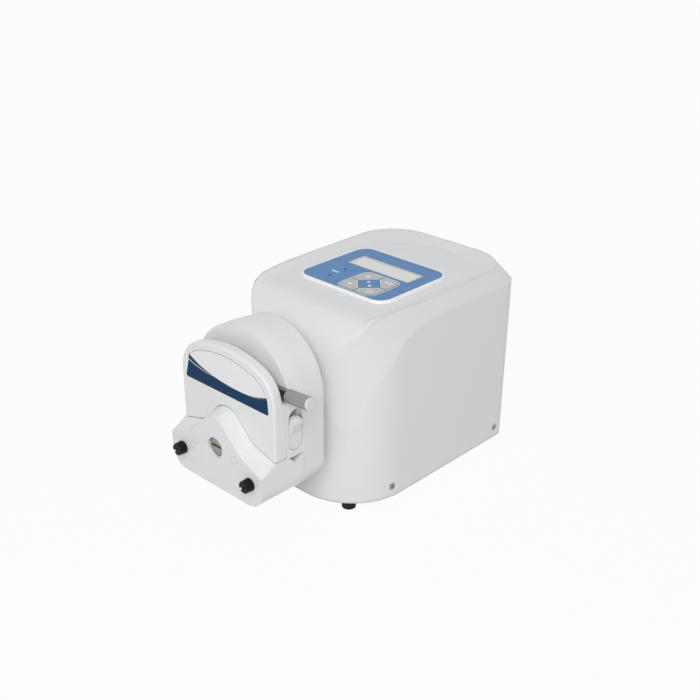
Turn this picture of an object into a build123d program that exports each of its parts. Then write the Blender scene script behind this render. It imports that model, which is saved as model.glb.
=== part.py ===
from build123d import *

import os
from math import cos, radians, sin
os.makedirs("parts", exist_ok=True)

# Benchtop peristaltic pump: a drive unit with a keypad on top and a lever-operated tubing
# head on its front.  Millimetres, +Z up, feet on Z = 0, pump shaft along Y, front towards -Y.
# X = 0 is the mid plane of the housing and of the head.

# ---------------------------------------------------------------- driving dimensions
# Drive housing
body_width = 180.0
body_length = 246.0
body_height = 205.0          # top of the raised rim
front_y = -76.0              # front face of the housing
foot_height = 8.0
wall = 3.0
front_corner_radius = 66.0
rear_corner_radius = 20.0
shoulder_drop = 17.5         # height of the sloping shoulder under the rim
shoulder_inset_side = 5.0
shoulder_inset_rear = 3.0
rim_front_radius = 58.0      # front edge of the rim, seen from the side
rim_rear_corner = 48.0
rim_land = 1.5
floor_drop = 4.5             # the keypad floor lies this far below the rim
floor_slope = 2.9            # sideways run of the rim's inner slope per millimetre of height
flare = 0.5                  # the same for the slope that runs down to the front
floor_rear_corner = 68.0
floor_front_radius = 45.0

# Sweeping facet over each front corner and along the sides.  Its lower and upper edges are
# given round the corner as (degrees from the front, height, outwards of the wall), then along
# the side as (distance from the housing front, height) and (x, distance, height).
facet_low_corner = (
    (28.0, 64.0, 3.0), (37.0, 80.0, 1.2), (44.0, 95.0, 0.0), (51.0, 109.5, 0.0),
    (58.0, 123.5, 0.0), (66.5, 139.0, 0.0), (76.0, 155.0, 0.0), (86.0, 169.0, 0.0),
)
facet_low_side = (
    (76.0, 178.5), (90.0, 183.5), (106.0, 186.0), (124.0, 187.0), (150.0, 187.0),
    (190.0, 186.2), (250.0, 184.6),
)
facet_high_corner = (
    (8.0, 127.0, 3.0), (13.0, 138.0, 1.2), (18.0, 147.8, 0.0), (25.0, 160.2, 0.0),
    (33.0, 173.0, 0.0), (41.0, 184.6, 0.0),
)
facet_high_side = (
    (73.2, 22.0, 192.2), (77.4, 31.0, 198.0), (79.9, 43.0, 202.8), (81.6, 58.0, 204.9),
    (83.2, 78.0, 204.9), (84.2, 100.0, 204.9), (84.6, 140.0, 204.9), (84.6, 190.0, 204.9),
    (84.6, 250.0, 204.9),
)
facet_way = (1.0, -0.35, 0.45)

# Clearances
gap = 0.3                    # between neighbouring pieces that must not touch
running = 0.05               # radial clearance of a shaft in its bore
screw_clearance = 0.05

# Pump head, depths measured forwards from the housing front
shaft_height = 91.3          # height of the pump shaft above the feet
head_half_width = 64.0
head_bottom = 48.5
head_bottom_corner = 20.0
block_depth = 94.0           # front face of the lower block
cover_depth = 77.0           # front face of the upper cover
seam_depth = 63.0            # back of the upper cover beside the side walls
lever_slot_front = 67.0      # the lever swings between these two depths
lever_slot_rear = 57.0
backplate_depth = 41.0       # front face of the rear body behind the rollers
flange_depth = 12.5          # rear face of the head
side_seam_height = 91.3      # lower block and side walls meet here
lever_slot_height = 150.0    # bottom of the lever slot
arch_centre_height = 138.0
rear_body_draft = 5.0        # degrees
bed_half_width = 46.0
bed_clearance = 0.5
lift = 9.0                   # travel of the upper block

# Bell-shaped seam between the blocks: edge height, foot of the flank, apex of the flanks
seam_bell = ((64.0, 93.0), (34.4, 101.6), 136.0)
nose_bell = ((64.0, 83.5), (36.7, 94.3), 131.0)
bell_foot_radius = 25.0
bell_apex_radius = 20.0

# Upper cover outline
cover_side_height = 147.2
cover_knee = (40.8, 180.0)
cover_top = 187.0
label_margin = 6.2
label_bottom = 139.2
label_thickness = 0.3

# Rotor
roller_count = 3
roller_radius = 9.0
roller_pitch = 26.0
roller_pin_radius = 3.0
track_gap = 3.5              # between roller and occlusion bed
carrier_radius = 30.0
carrier_thickness = 3.0
shaft_radius = 6.0
window_radius = 10.0
bearing_radius = 11.0
bearing_width = 7.0

# Lever
lever_pivot_height = 152.0
lever_rest_angle = 4.4       # degrees above horizontal
lever_thickness = 4.0
lever_hub_radius = 9.0
handle_radius = 6.5
handle_start = 66.0          # from the pivot
handle_end = 94.0
handle_cap_length = 2.2
cam_pin_radius = 3.0
cam_journal_radius = 8.0
yoke_play = 1.3              # above and below the pin in its slot

# Tube clamps in the side walls
clamp_y_depth = 51.0
clamp_width = 17.0
clamp_slot_bottom = 97.5
clamp_slot_top = 139.8
clamp_length = 34.0
notch_half_width = 8.3
notch_drop = 7.8

# Thumbscrews
thumb_x = 47.7
thumb_z = 72.5
thumb_radius = 6.5
thumb_length = 8.5
thumb_shank_radius = 2.5

# Keypad
keypad_half_width = 58.5
keypad_front = 68.0          # from the housing front
keypad_rear = 172.0
keypad_corner = 16.0
keypad_rise = 2.8
keypad_rim = 2.2
key_centre = (16.6, 96.2)    # x, distance from the housing front
key_cluster_half = 23.2
key_cluster_corner = 9.0
key_diamond = 14.9
key_gap = 0.6
key_travel = 0.4
display_box = (-39.0, 41.8, 124.8, 149.2)
led_x = -30.5
led_rows = (86.5, 97.5, 108.8)

# Rear panel
panel_half_width = 66.0
panel_bottom = 30.0
panel_top = 118.0
panel_thickness = 1.5

# ---------------------------------------------------------------- derived places
rear_y = front_y + body_length
shoulder_z = body_height - shoulder_drop
floor_z = body_height - floor_drop
base_z = foot_height
plate_top = base_z + 2.0
track_radius = roller_pitch + roller_radius + track_gap
cam_offset = lift / 2

# Values that only place pieces inside the housing
flange_radius = 42.0
flange_seat = 8.0            # the head flange reaches this far behind the housing front
side_screw_height = 19.5
side_screw_rows = (front_y + 56.0, front_y + 222.0)
side_screw_head = 3.2
side_screw_radius = 1.75
side_screw_recess = 1.6
side_flange_height = 16.0
foot_places = [(side * 62.0, y) for side in (-1, 1) for y in (front_y + 22.0, front_y + 226.0)]
foot_radius = 8.0
foot_recess = 3.0
foot_screw_head = 3.5
foot_screw_radius = 2.0
panel_lap = 6.0
panel_fit = 0.1
panel_screw_radius = 1.5
panel_screw_head = 3.0
inlet_box = (-52.0, -25.0, 46.0, 66.0)
inlet_depth = 22.0
inlet_pin_places = ((-45.5, 58.5), (-31.5, 58.5), (-38.5, 53.0))
switch_box = (-48.5, -28.5, 80.0, 108.0)
switch_depth = 20.0
rocker_axis_y = -2.5
rocker_pin = 1.2
rocker_gap = 1.5
fuse_place = (0.0, 56.0)
fuse_radius = 6.5
fuse_cap_end = rear_y + 8.5
signal_box = (16.0, 54.0, 84.0, 94.0)
cavity_shoulder = 112.0      # above this height the cavity draws in under the facets
cavity_neck = 150.0
cavity_inset = 13.0
cavity_front_radius = 56.5
tub_drop = 4.0
tub_inset = 8.0
tub_front_inset = 3.0
board_thickness = 1.6
overlay_thickness = 0.7
overlay_gap = 0.1
led_half = (4.5, 1.5)
key_stem = 14.0
flange_bore = 16.0
bracket_half = 44.0
bracket_thickness = 4.0
bracket_foot = 50.0
drive_screw_radius = 2.0
drive_screw_head = 3.6
bracket_screw_places = [(sx * 34.0, shaft_height + sz * 9.0) for sx in (-1, 1) for sz in (-1, 1)]
head_screw_places = [(sx * 23.5, shaft_height + sz * 23.5) for sx in (-1, 1) for sz in (-1, 1)]
motor_half = 28.5
motor_length = 76.0
motor_bore = 22.0
motor_shaft_radius = 5.0
motor_screw_places = [(sx * 8.0, shaft_height + sz * 21.0) for sx in (-1, 1) for sz in (-1, 1)]
supply_x = (-60.0, 52.0)
supply_y = (front_y + 168.0, front_y + 214.0)
supply_height = 30.0
drive_screw_head_length = 2.5
motor_screw_recess = 28.0
seam_gap = 0.5
apex_limit = 150.0
cover_edge_radius = 2.5
chamber_radius = 40.0
plug_x = 27.0
plug_z = 89.0
plug_radius = 3.6
guide_x = 42.0
guide_depth = 46.0
guide_radius = 2.0
guide_bottom = 70.0
guide_top = 168.0
thumb_reach = 16.0
bed_bottom = 97.0
bed_shelf = 133.0            # top of the bed beside the lever hub
bed_back_depth = 57.5
bed_top = 150.0
yoke_half = 20.0
yoke_top = 156.5
cam_journal_length = 18.0
cam_web = 0.5
lever_rear_depth = 58.4
lever_half = 5.0
lever_tang = 6.0
lever_bore = 5.0
clamp_plate_in = 60.0
clamp_jaw_in = 52.4
clamp_jaw_half = 5.5
clamp_ridge_half = 6.0
tongue_half = 1.5
tongue_length = 5.0
window_recess = 3.0
carrier_hub_radius = 10.0

panel_screws = [
    (x, z) for x in (-panel_half_width + 3, 0, panel_half_width - 3)
    for z in (panel_bottom + 3, panel_top - 3)
]
flange_out = body_width / 2 - wall - gap
flange_in = flange_out - 2.0
keypad_y0 = front_y + keypad_front
keypad_y1 = front_y + keypad_rear
keypad_middle = (keypad_y0 + keypad_y1) / 2
tub_half = keypad_half_width - tub_inset
tub_y0 = keypad_y0 + tub_front_inset
tub_y1 = keypad_y1 - tub_inset
overlay_z = floor_z + keypad_rise - overlay_thickness
board_top = floor_z - tub_drop - 4.9
switch_top = board_top + 3.4
key_bottom = board_top + 5.5
key_place = (key_centre[0], front_y + key_centre[1])
display_place = (display_box[0], display_box[1], front_y + display_box[2], front_y + display_box[3])
display_middle = (
    (display_place[0] + display_place[1]) / 2, (display_place[2] + display_place[3]) / 2,
)
led_places = [front_y + row for row in led_rows]
standoff_places = [
    (side * (tub_half - 4), y) for side in (-1, 1)
    for y in (tub_y0 + 4, tub_y1 - 4)
]


def depth(d):
    """Y of a place d millimetres in front of the housing."""
    return front_y - d


motor_front = front_y + flange_seat + bracket_thickness
window_back = depth(block_depth - 14)
coupling_y = depth(15)
carrier_y0 = depth(seam_depth + carrier_thickness - 0.4)
carrier_y1 = depth(backplate_depth - 1.6)
roller_y0 = carrier_y0 + carrier_thickness + 0.4
roller_y1 = carrier_y1 - carrier_thickness - 0.4
rear_bearing_y = depth(35)
head_screw_seat = depth(30)
roller_places = []
for index in range(roller_count):
    angle = radians(90 + 360 / roller_count * index)
    roller_places.append((roller_pitch * cos(angle), shaft_height + roller_pitch * sin(angle)))


def front_plane(y):
    """Sketch plane at depth y with axes X and Z; extruding it goes forwards."""
    return Plane.XZ.offset(-y)


def block(x0, x1, y0, y1, z0, z1, mode=Mode.ADD):
    """Box between two corners."""
    with Locations(((x0 + x1) / 2, (y0 + y1) / 2, (z0 + z1) / 2)):
        Box(abs(x1 - x0), abs(y1 - y0), abs(z1 - z0), mode=mode)


def rod_y(x, z, radius, y0, y1, mode=Mode.ADD):
    """Round bar or bore along Y."""
    with Locations((x, (y0 + y1) / 2, z)):
        Cylinder(radius, abs(y1 - y0), rotation=(90, 0, 0), mode=mode)


def rod_x(y, z, radius, x0, x1, mode=Mode.ADD):
    """Round bar or bore along X."""
    with Locations(((x0 + x1) / 2, y, z)):
        Cylinder(radius, abs(x1 - x0), rotation=(0, 90, 0), mode=mode)


def rod_z(x, y, radius, z0, z1, mode=Mode.ADD):
    """Round bar or bore along Z."""
    with Locations((x, y, (z0 + z1) / 2)):
        Cylinder(radius, abs(z1 - z0), mode=mode)


# ---------------------------------------------------------------- drive housing
def housing_outline(z, side_inset, rear_inset, front_radius, back_radius, front_inset=0.0):
    """Plan outline of the housing at height z, moved in from its outside faces."""
    with BuildSketch(Plane.XY.offset(z)) as plan:
        y0 = front_y + front_inset
        y1 = rear_y - rear_inset
        with Locations((0, (y0 + y1) / 2)):
            Rectangle(body_width - 2 * side_inset, y1 - y0)
        fillet(plan.vertices().group_by(Axis.Y)[0], front_radius)
        fillet(plan.vertices().group_by(Axis.Y)[-1], back_radius)
    return plan.sketch


def side_profile(top, radius, front_inset=0.0):
    """Side view of the housing, square at the back, with a round front top edge."""
    y0 = front_y + front_inset
    y1 = rear_y + 1
    z0 = base_z - 1
    with BuildSketch(Plane.YZ.offset(-body_width)) as side:
        with BuildLine():
            Line((y0, z0), (y0, top - radius))
            JernArc((y0, top - radius), (0, 1), radius, -90)
            Polyline((y0 + radius, top), (y1, top), (y1, z0), (y0, z0))
        make_face()
    return side.sketch


def floor_half(z):
    """Half width between the inner slopes of the rim at height z."""
    return body_width / 2 - shoulder_inset_side - rim_land - floor_slope * (body_height - z)


def floor_rear(z):
    """Rear edge between the inner slopes of the rim at height z."""
    return rear_y - shoulder_inset_rear - rim_land - floor_slope * (body_height - z)


def floor_outline(z, corner):
    """Plan outline of the sunken keypad floor's rear part at height z."""
    with BuildSketch(Plane.XY.offset(z)) as plan:
        y0 = front_y + rim_front_radius
        with Locations((0, (y0 + floor_rear(z)) / 2)):
            Rectangle(2 * floor_half(z), floor_rear(z) - y0)
        fillet(plan.vertices().group_by(Axis.Y)[-1], corner)
    return plan.sketch


with BuildPart() as floor_tool:
    above = 5.0
    low = body_height - 110.0
    top = body_height + above
    with BuildSketch(front_plane(front_y + rim_front_radius + 10)):
        with BuildLine():
            knee = floor_half(floor_z)
            foot = knee - flare * (floor_z - low)
            Polyline(
                (-foot, low), (foot, low), (knee, floor_z), (floor_half(top), top),
                (-floor_half(top), top), (-knee, floor_z), close=True,
            )
        make_face()
    extrude(amount=rim_front_radius + 20)
    extrude(side_profile(floor_z, floor_front_radius), amount=2 * body_width, mode=Mode.SUBTRACT)
    loft(
        [floor_outline(floor_z, floor_rear_corner), floor_outline(body_height, rim_rear_corner)],
        ruled=True,
    )
    extrude(floor_outline(body_height, rim_rear_corner), amount=above)

def corner_point(angle, z, out=0.0):
    """Point on the housing's round front corner, angle degrees round from the front face."""
    reach = front_corner_radius + out
    x = body_width / 2 - front_corner_radius + reach * sin(radians(angle))
    return (x, front_y + front_corner_radius - reach * cos(radians(angle)), z)


with BuildPart() as facet_tool:
    low_points = [corner_point(angle, z, out) for angle, z, out in facet_low_corner]
    low_points += [(body_width / 2, front_y + d, z) for d, z in facet_low_side]
    high_points = [corner_point(angle, z, out) for angle, z, out in facet_high_corner]
    high_points += [(x, front_y + d, z) for x, d, z in facet_high_side]
    steps = [0.0]
    for index in range(1, len(low_points)):
        low_step = Vector(*low_points[index]) - Vector(*low_points[index - 1])
        high_step = Vector(*high_points[index]) - Vector(*high_points[index - 1])
        steps.append(steps[-1] + low_step.length + high_step.length)
    facet = Face.make_surface_from_curves(
        Edge.make_spline([Vector(*p) for p in low_points], parameters=steps),
        Edge.make_spline([Vector(*p) for p in high_points], parameters=steps),
    )
    extrude(facet, amount=60, dir=facet_way)
    mirror(about=Plane.YZ)

with BuildPart() as housing_shell:
    extrude(
        housing_outline(base_z, 0, 0, front_corner_radius, rear_corner_radius),
        amount=shoulder_z - base_z,
    )
    loft(
        [
            housing_outline(shoulder_z, 0, 0, front_corner_radius, rear_corner_radius),
            housing_outline(
                body_height, shoulder_inset_side, shoulder_inset_rear,
                front_corner_radius - shoulder_inset_side, rim_rear_corner,
            ),
        ],
        ruled=True,
    )
    extrude(side_profile(body_height, rim_front_radius), amount=2 * body_width, mode=Mode.INTERSECT)
    add(floor_tool.part, mode=Mode.SUBTRACT)
    add(facet_tool.part, mode=Mode.SUBTRACT)
    # hollow inside, open at the bottom
    with BuildPart(mode=Mode.PRIVATE) as cavity:
        extrude(
            housing_outline(
                base_z - 1, wall, wall, front_corner_radius - wall, rear_corner_radius - wall, wall,
            ),
            amount=cavity_shoulder - base_z + 1,
        )
        neck = housing_outline(
            cavity_neck, cavity_inset, wall, front_corner_radius - cavity_inset, rear_corner_radius, wall,
        )
        loft(
            [
                housing_outline(
                    cavity_shoulder, wall, wall, front_corner_radius - wall, rear_corner_radius - wall,
                    wall,
                ),
                neck,
            ],
            ruled=True,
        )
        extrude(neck, amount=floor_z - wall - cavity_neck)
        extrude(
            side_profile(floor_z - wall, cavity_front_radius, wall),
            amount=2 * body_width, mode=Mode.INTERSECT,
        )
    add(cavity.part, mode=Mode.SUBTRACT)
    # opening for the head flange
    rod_y(0, shaft_height, flange_radius + gap, front_y - 1, front_y + flange_seat, mode=Mode.SUBTRACT)
    # opening under the keypad
    block(
        -tub_half - gap, tub_half + gap, tub_y0 - gap, tub_y1 + gap, floor_z - wall - 1, floor_z + 1,
        mode=Mode.SUBTRACT,
    )
    # seat and opening of the rear panel
    block(
        -panel_half_width - gap, panel_half_width + gap, rear_y - panel_thickness, rear_y + 1,
        panel_bottom - gap, panel_top + gap, mode=Mode.SUBTRACT,
    )
    block(
        -panel_half_width + panel_lap, panel_half_width - panel_lap, rear_y - wall - 1, rear_y + 1,
        panel_bottom + panel_lap, panel_top - panel_lap, mode=Mode.SUBTRACT,
    )
    for x, z in panel_screws:
        rod_y(x, z, panel_screw_radius + screw_clearance, rear_y - wall - 1, rear_y, mode=Mode.SUBTRACT)
    for side in (-1, 1):
        for y in side_screw_rows:
            rod_x(
                y, side_screw_height, side_screw_head + gap,
                side * (body_width / 2 - side_screw_recess), side * (body_width / 2 + 1),
                mode=Mode.SUBTRACT,
            )
            rod_x(
                y, side_screw_height, side_screw_radius + screw_clearance,
                side * (body_width / 2 - 2 * wall), side * (body_width / 2 + 1),
                mode=Mode.SUBTRACT,
            )
housing_shell.part.label = "housing_shell"
export_step(housing_shell.part, "parts/housing_shell.step")

with BuildPart() as base_plate:
    extrude(
        housing_outline(
            base_z, wall + gap, wall + gap, front_corner_radius - wall - gap,
            rear_corner_radius - wall - gap, wall + gap,
        ),
        amount=plate_top - base_z + side_flange_height,
    )
    block(
        -flange_in, flange_in, front_y - 1, rear_y + 1, plate_top, plate_top + side_flange_height + 1,
        mode=Mode.SUBTRACT,
    )
    block(
        -body_width, body_width, rear_y - rear_corner_radius - 2, rear_y + 1, plate_top,
        plate_top + side_flange_height + 1, mode=Mode.SUBTRACT,
    )
    for side in (-1, 1):
        for y in side_screw_rows:
            rod_x(
                y, side_screw_height, side_screw_radius + screw_clearance,
                side * (flange_in - 1), side * (flange_out + 1), mode=Mode.SUBTRACT,
            )
    for x, y in foot_places:
        rod_z(x, y, foot_screw_radius + screw_clearance, base_z - 1, plate_top + 1, mode=Mode.SUBTRACT)
base_plate.part.label = "base_plate"
export_step(base_plate.part, "parts/base_plate.step")

with BuildPart() as rubber_feet:
    for x, y in foot_places:
        with Locations((x, y, base_z / 2)):
            Cone(foot_radius - 1, foot_radius, base_z)
        rod_z(x, y, foot_screw_head + gap, 0, foot_recess, mode=Mode.SUBTRACT)
        rod_z(x, y, foot_screw_radius + screw_clearance, 0, base_z, mode=Mode.SUBTRACT)
rubber_feet.part.label = "rubber_feet"
export_step(rubber_feet.part, "parts/rubber_feet.step")

with BuildPart() as foot_screws:
    for x, y in foot_places:
        rod_z(x, y, foot_screw_head, foot_recess - 2, foot_recess)
        rod_z(x, y, foot_screw_radius, foot_recess, plate_top + 4)
foot_screws.part.label = "foot_screws"
export_step(foot_screws.part, "parts/foot_screws.step")

with BuildPart() as side_screws:
    for side in (-1, 1):
        for y in side_screw_rows:
            head_x = side * (body_width / 2 - side_screw_recess)
            rod_x(y, side_screw_height, side_screw_head, head_x, side * (body_width / 2 - 0.2))
            rod_x(y, side_screw_height, side_screw_radius, side * (flange_in - 3), head_x)
            with Locations((side * (body_width / 2 - 0.2), y, side_screw_height)):
                Box(1.2, 0.8, 4.0, mode=Mode.SUBTRACT)
                Box(1.2, 4.0, 0.8, mode=Mode.SUBTRACT)
side_screws.part.label = "side_screws"
export_step(side_screws.part, "parts/side_screws.step")

# ---------------------------------------------------------------- rear panel
with BuildPart() as rear_panel:
    block(
        -panel_half_width, panel_half_width, rear_y - panel_thickness, rear_y, panel_bottom, panel_top,
    )
    for x0, x1, z0, z1 in (inlet_box, switch_box, signal_box):
        block(
            x0 - panel_fit, x1 + panel_fit, rear_y - 2 * wall, rear_y + 1, z0 - panel_fit, z1 + panel_fit,
            mode=Mode.SUBTRACT,
        )
    rod_y(*fuse_place, fuse_radius + panel_fit, rear_y - 2 * wall, rear_y + 1, mode=Mode.SUBTRACT)
    for x, z in panel_screws:
        rod_y(x, z, panel_screw_radius + screw_clearance, rear_y - wall, rear_y + 1, mode=Mode.SUBTRACT)
rear_panel.part.label = "rear_panel"
export_step(rear_panel.part, "parts/rear_panel.step")

with BuildPart() as rear_panel_screws:
    for x, z in panel_screws:
        rod_y(x, z, panel_screw_radius, rear_y - 3 * wall, rear_y)
        rod_y(x, z, panel_screw_head, rear_y, rear_y + 1.6)
        with Locations((x, rear_y + 1.6, z)):
            Box(3.4, 1.4, 0.7, mode=Mode.SUBTRACT)
            Box(0.7, 1.4, 3.4, mode=Mode.SUBTRACT)
rear_panel_screws.part.label = "rear_panel_screws"
export_step(rear_panel_screws.part, "parts/rear_panel_screws.step")

with BuildPart() as power_inlet:
    x0, x1, z0, z1 = inlet_box
    block(x0, x1, rear_y - inlet_depth, rear_y, z0, z1)
    block(x0 - 2, x1 + 2, rear_y, rear_y + 2, z0 - 2, z1 + 2)
    block(x0 + 1.5, x1 - 1.5, rear_y - inlet_depth + 3, rear_y + 3, z0 + 1.5, z1 - 1.5, mode=Mode.SUBTRACT)
    for x, z in inlet_pin_places:
        block(
            x - 1 - screw_clearance, x + 1 + screw_clearance, rear_y - inlet_depth - 1,
            rear_y - inlet_depth + 4, z - 2 - screw_clearance, z + 2 + screw_clearance, mode=Mode.SUBTRACT,
        )
power_inlet.part.label = "power_inlet"
export_step(power_inlet.part, "parts/power_inlet.step")

with BuildPart() as inlet_pins:
    for x, z in inlet_pin_places:
        block(x - 1, x + 1, rear_y - inlet_depth - 5, rear_y - 5.5, z - 2, z + 2)
inlet_pins.part.label = "inlet_pins"
export_step(inlet_pins.part, "parts/inlet_pins.step")

with BuildPart() as switch_frame:
    x0, x1, z0, z1 = switch_box
    block(x0, x1, rear_y - switch_depth, rear_y, z0, z1)
    block(x0 - 2, x1 + 2, rear_y, rear_y + 2, z0 - 2, z1 + 2)
    block(x0 + 2, x1 - 2, rear_y - switch_depth + 2, rear_y + 3, z0 + 2, z1 - 2, mode=Mode.SUBTRACT)
    rod_x(
        rear_y + rocker_axis_y, (z0 + z1) / 2, rocker_pin + running, x0 + 0.5, x1 - 0.5, mode=Mode.SUBTRACT,
    )
switch_frame.part.label = "switch_frame"
export_step(switch_frame.part, "parts/switch_frame.step")

with BuildPart() as switch_rocker:
    x0, x1, z0, z1 = switch_box
    middle = (z0 + z1) / 2
    half = (z1 - z0) / 2 - 2 - rocker_gap
    with BuildSketch(Plane.YZ.offset(x0 + 2 + gap)):
        with BuildLine():
            Polyline(
                (rear_y - 5, middle - half + 1), (rear_y + 0.8, middle - half),
                (rear_y + 1.4, middle), (rear_y + 4.0, middle + half), (rear_y - 5, middle + half - 1),
                close=True,
            )
        make_face()
    extrude(amount=x1 - x0 - 4 - 2 * gap)
    rod_x(rear_y + rocker_axis_y, middle, rocker_pin, x0 + 0.5 + gap, x1 - 0.5 - gap)
switch_rocker.part.label = "switch_rocker"
export_step(switch_rocker.part, "parts/switch_rocker.step")

with BuildPart() as fuse_holder:
    x, z = fuse_place
    rod_y(x, z, fuse_radius, rear_y - 30, rear_y)
    rod_y(x, z, fuse_radius + 2, rear_y, rear_y + 2)
    rod_y(x, z, fuse_radius - 1.5, rear_y - 27, rear_y + 3, mode=Mode.SUBTRACT)
fuse_holder.part.label = "fuse_holder"
export_step(fuse_holder.part, "parts/fuse_holder.step")

with BuildPart() as fuse_cap:
    x, z = fuse_place
    rod_y(x, z, fuse_radius - 1.5 - running, rear_y - 12, rear_y + 2.3)
    rod_y(x, z, fuse_radius + 0.5, rear_y + 2.3, fuse_cap_end)
    with Locations((x, fuse_cap_end, z)):
        Box(2 * fuse_radius, 2.4, 1.4, mode=Mode.SUBTRACT)
fuse_cap.part.label = "fuse_cap"
export_step(fuse_cap.part, "parts/fuse_cap.step")

with BuildPart() as signal_connector:
    x0, x1, z0, z1 = signal_box
    block(x0, x1, rear_y - 10, rear_y, z0, z1)
    block(x0 - 6, x1 + 6, rear_y, rear_y + 1.2, z0 - 1.5, z1 + 1.5)
    block(x0 + 1, x1 - 1, rear_y, rear_y + 6.5, z0 + 1, z1 - 1)
    block(x0 + 1.8, x1 - 1.8, rear_y - 0.5, rear_y + 8, z0 + 1.8, z1 - 1.8, mode=Mode.SUBTRACT)
    for side in (-1, 1):
        x = (x0 + x1) / 2 + side * ((x1 - x0) / 2 + 3.5)
        rod_y(x, (z0 + z1) / 2, 2.0, rear_y + 1.2, rear_y + 6)
signal_connector.part.label = "signal_connector"
export_step(signal_connector.part, "parts/signal_connector.step")

# ---------------------------------------------------------------- keypad and control board
with BuildPart() as keypad_bezel:
    with BuildSketch(Plane.XY.offset(floor_z)):
        with Locations((0, keypad_middle)):
            RectangleRounded(2 * keypad_half_width, keypad_y1 - keypad_y0, keypad_corner)
    extrude(amount=keypad_rise)
    fillet(keypad_bezel.faces().sort_by(Axis.Z)[-1].edges(), 0.7)
    block(-tub_half, tub_half, tub_y0, tub_y1, floor_z - tub_drop, floor_z)
    with BuildSketch(Plane.XY.offset(overlay_z)):
        with Locations((0, keypad_middle)):
            RectangleRounded(
                2 * (keypad_half_width - keypad_rim), keypad_y1 - keypad_y0 - 2 * keypad_rim,
                keypad_corner - keypad_rim,
            )
    extrude(amount=keypad_rise, mode=Mode.SUBTRACT)
    with BuildSketch(Plane.XY.offset(floor_z - tub_drop - 1)):
        with Locations(key_place):
            RectangleRounded(2 * key_cluster_half + 1, 2 * key_cluster_half + 1, key_cluster_corner)
    extrude(amount=tub_drop + keypad_rise + 2, mode=Mode.SUBTRACT)
    x0, x1, y0, y1 = display_place
    block(x0 + 2, x1 - 2, y0 + 2, y1 - 2, floor_z - tub_drop - 1, overlay_z + 1, mode=Mode.SUBTRACT)
    for y in led_places:
        block(
            led_x - led_half[0] - screw_clearance, led_x + led_half[0] + screw_clearance,
            y - led_half[1] - screw_clearance, y + led_half[1] + screw_clearance,
            floor_z - tub_drop - 1, overlay_z + 1, mode=Mode.SUBTRACT,
        )
    for x, y in standoff_places:
        rod_z(x, y, 1.5, floor_z - tub_drop - 0.1, floor_z - 1, mode=Mode.SUBTRACT)
keypad_bezel.part.label = "keypad_bezel"
export_step(keypad_bezel.part, "parts/keypad_bezel.step")


def key_area(extra):
    """Rounded square that holds the five keys, grown by extra."""
    with BuildSketch() as area:
        RectangleRounded(2 * (key_cluster_half + extra), 2 * (key_cluster_half + extra), key_cluster_corner)
    return area.sketch


def diamond(extra):
    """Centre key's outline, a rounded square on its corner, grown by extra."""
    with BuildSketch() as shape:
        Rectangle(*2 * [(key_diamond + extra) * 2 ** 0.5], rotation=45)
        fillet(shape.vertices(), 4.0)
    return shape.sketch


with BuildPart() as keypad_overlay:
    with BuildSketch(Plane.XY.offset(overlay_z)):
        with Locations((0, keypad_middle)):
            RectangleRounded(
                2 * (keypad_half_width - keypad_rim - overlay_gap),
                keypad_y1 - keypad_y0 - 2 * (keypad_rim + overlay_gap),
                keypad_corner - keypad_rim - overlay_gap,
            )
        with Locations(key_place):
            RectangleRounded(
                2 * key_cluster_half, 2 * key_cluster_half, key_cluster_corner, mode=Mode.SUBTRACT,
            )
        with Locations(display_middle):
            Rectangle(
                display_place[1] - display_place[0], display_place[3] - display_place[2], mode=Mode.SUBTRACT,
            )
        for y in led_places:
            with Locations((led_x, y)):
                Rectangle(
                    2 * (led_half[0] + screw_clearance), 2 * (led_half[1] + screw_clearance),
                    mode=Mode.SUBTRACT,
                )
    extrude(amount=overlay_thickness)
keypad_overlay.part.label = "keypad_overlay"
export_step(keypad_overlay.part, "parts/keypad_overlay.step")

with BuildPart() as display_window:
    block(
        x0 + screw_clearance, x1 - screw_clearance, y0 + screw_clearance, y1 - screw_clearance,
        overlay_z, overlay_z + overlay_thickness,
    )
display_window.part.label = "display_window"
export_step(display_window.part, "parts/display_window.step")

with BuildPart() as display_module:
    block(x0 + 2.3, x1 - 2.3, y0 + 2.3, y1 - 2.3, board_top, overlay_z - gap)
display_module.part.label = "display_module"
export_step(display_module.part, "parts/display_module.step")

with BuildPart() as status_leds:
    for y in led_places:
        block(
            led_x - led_half[0], led_x + led_half[0], y - led_half[1], y + led_half[1],
            board_top, overlay_z + overlay_thickness,
        )
status_leds.part.label = "status_leds"
export_step(status_leds.part, "parts/status_leds.step")

key_quadrants = {
    "key_rear_right": (1, 1), "key_rear_left": (-1, 1), "key_front_left": (-1, -1),
    "key_front_right": (1, -1),
}
key_top = overlay_z + overlay_thickness + 0.3
for name, (sx, sy) in key_quadrants.items():
    with BuildPart() as key:
        with BuildSketch(Plane.XY.offset(key_bottom)):
            with Locations(key_place):
                add(key_area(-key_gap))
                add(diamond(key_gap), mode=Mode.SUBTRACT)
                reach = key_cluster_half
                with Locations((sx * (reach / 2 + key_gap / 2), sy * (reach / 2 + key_gap / 2))):
                    Rectangle(reach, reach, mode=Mode.INTERSECT)
        extrude(amount=key_top - key_bottom)
        stem = (key_place[0] + sx * key_stem, key_place[1] + sy * key_stem)
        rod_z(*stem, 1.6, switch_top + key_travel + 0.1, key_bottom)
    key.part.label = name
    export_step(key.part, f"parts/{name}.step")

with BuildPart() as key_centre_button:
    with BuildSketch(Plane.XY.offset(key_bottom)):
        with Locations(key_place):
            add(diamond(0))
    extrude(amount=key_top - key_bottom)
    rod_z(*key_place, 1.6, switch_top + key_travel + 0.1, key_bottom)
key_centre_button.part.label = "key_centre"
export_step(key_centre_button.part, "parts/key_centre.step")

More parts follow.
